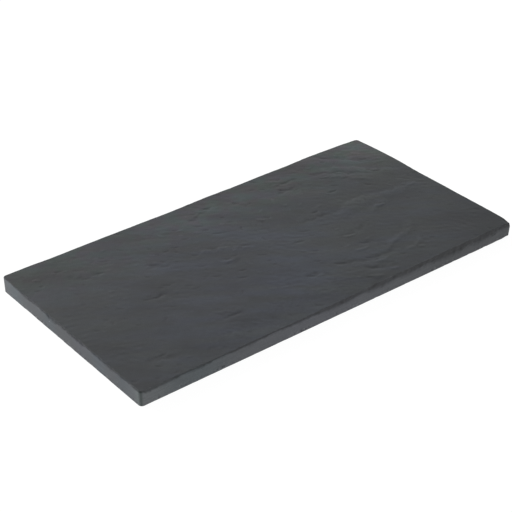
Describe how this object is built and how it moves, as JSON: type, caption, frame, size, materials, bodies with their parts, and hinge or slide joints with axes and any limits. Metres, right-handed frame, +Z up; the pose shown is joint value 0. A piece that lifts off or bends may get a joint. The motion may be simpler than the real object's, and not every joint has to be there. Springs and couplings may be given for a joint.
{
  "type": "slate slab",
  "caption": "Flat rectangular slab of dark grey slate with a naturally split, rippled top and straight sawn sides. It rests on its flat underside.",
  "frame": {"origin": "middle of the flat underside, at the lowest point of the slab", "axes": "+X along the slab's length, +Z up out of the split face, so -Y is the long side whose top edge is chipped deepest"},
  "size_m": [0.3, 0.158, 0.011],
  "materials": {
    "slate": "satin split face with a fine cleavage grain, paler dull sawn sides, dark rough chipped top edge"
  },
  "bodies": {
    "root": {"slate_slab": "slate"}
  },
  "joints": []
}
